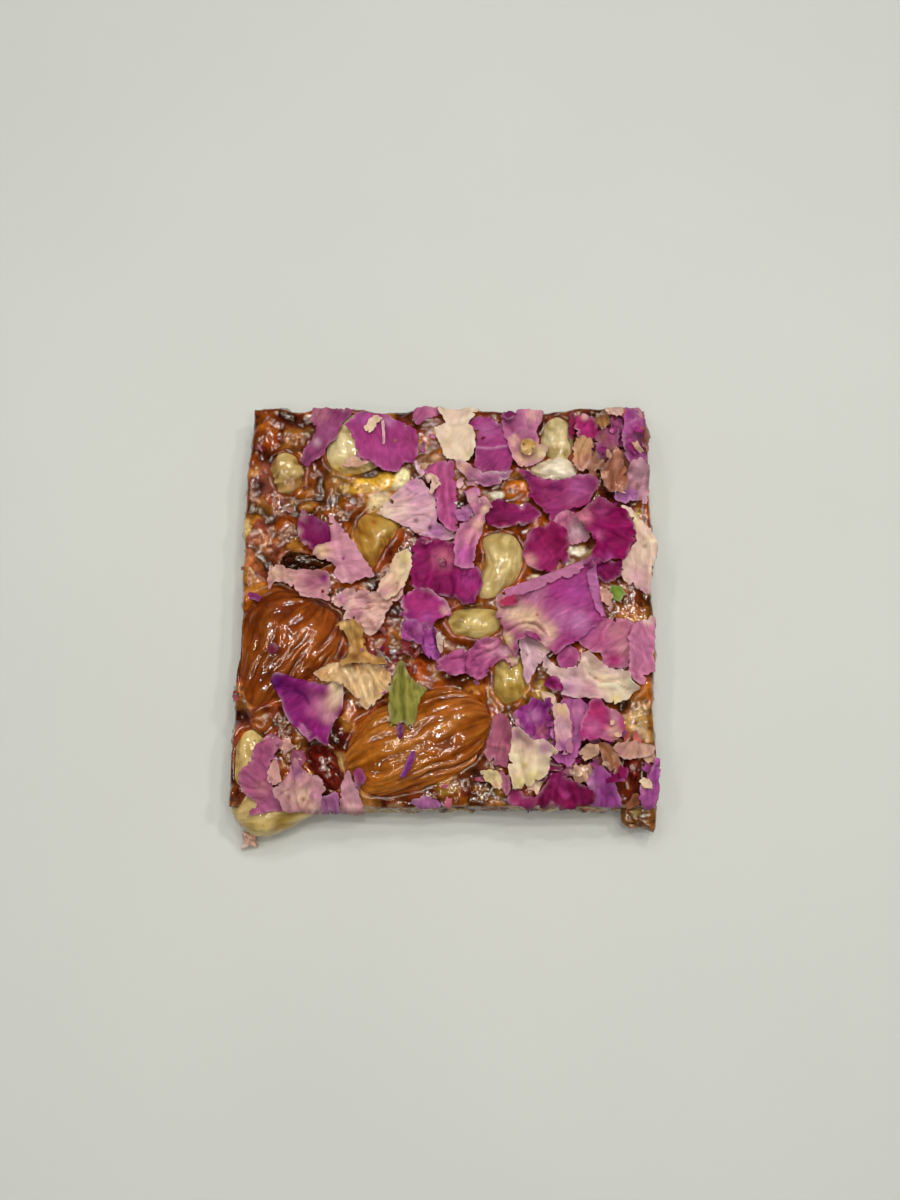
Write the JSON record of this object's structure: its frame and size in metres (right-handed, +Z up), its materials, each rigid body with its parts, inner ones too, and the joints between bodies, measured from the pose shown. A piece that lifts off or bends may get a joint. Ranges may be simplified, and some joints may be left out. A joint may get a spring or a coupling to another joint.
{
  "type": "square of mixed nut brittle with dried rose petals",
  "caption": "Square cut of hard caramel nut brittle with whole almonds, cashew pieces and dried fruit, strewn with dried rose petals.",
  "frame": {"origin": "under the middle of the whole piece, on the surface that it lies on", "axes": "+Z up through the thickness, +X to the right and +Y away from the viewer, along the cut edges"},
  "size_m": [0.059, 0.063, 0.0118],
  "materials": {
    "caramel": "hard glossy amber to red-brown caramel",
    "almond_skin": "wrinkled brown almond skin under a thin sugar glaze",
    "nut_kernel": "cream cashew flesh under a thin sugar glaze",
    "golden_nut": "golden roasted nut flesh under a thin sugar glaze",
    "dried_fruit": "dark shrivelled fruit skin, glossy with syrup",
    "petal_purple": "dried rose petal, orchid to plum, satin",
    "petal_pink": "dried rose petal, lilac to blush, satin",
    "petal_cream": "dried rose petal, cream, matt",
    "green_leaf": "dried green leaf scrap, matt",
    "husk": "papery tan husk, thinly glazed"
  },
  "bodies": {
    "root": {"brittle_slab": "caramel", "almond_front": "almond_skin", "almond_left": "almond_skin", "cashew_centre": "nut_kernel", "cashew_middle": "nut_kernel", "cashew_lower": "nut_kernel", "cashew_far_left": "nut_kernel", "cashew_far_right": "nut_kernel", "nut_far_left": "golden_nut", "nut_golden": "golden_nut", "nut_white": "nut_kernel", "nut_corner_left": "nut_kernel", "nut_edge_left": "nut_kernel", "raisin_left": "dried_fruit", "cranberry_front": "dried_fruit", "cranberry_right": "dried_fruit", "crumb_corner_right": "almond_skin", "crumb_corner_left": "petal_pink", "petal_far_left": "petal_purple", "petal_far_orchid": "petal_purple", "petal_far_middle": "petal_purple", "petal_far_cream": "petal_cream", "petal_far_pink": "petal_pink", "petal_far_right": "petal_purple", "petal_mauve_fold": "petal_pink", "petal_maroon": "petal_purple", "petal_upper_plum": "petal_purple", "petal_magenta_cup": "petal_purple", "petal_blush_right": "petal_pink", "petal_ruffled_plum": "petal_purple", "petal_pale_lilac": "petal_pink", "petal_middle_magenta": "petal_purple", "petal_ridged": "petal_purple", "petal_funnel": "petal_pink", "petal_violet": "petal_purple", "petal_long_ruffle": "petal_pink", "petal_right_rose": "petal_purple", "petal_right_lilac": "petal_purple", "petal_large_tail": "petal_pink", "petal_large_orchid": "petal_purple", "petal_cream_star": "petal_cream", "petal_near_mauve": "petal_purple", "petal_near_edge": "petal_purple", "petal_near_strip": "petal_pink", "petal_near_cream": "petal_cream", "petal_near_magenta": "petal_purple", "petal_corner_right": "petal_purple", "petal_corner_lilac": "petal_pink", "petal_corner_blush": "petal_pink", "petal_left_pink": "petal_pink", "petal_fan": "petal_pink", "petal_left_mauve": "petal_pink", "petal_cream_upright": "petal_cream", "petal_deep_purple": "petal_purple", "husk_papery": "husk", "husk_curl": "husk", "leaf_green": "green_leaf"}
  },
  "joints": []
}
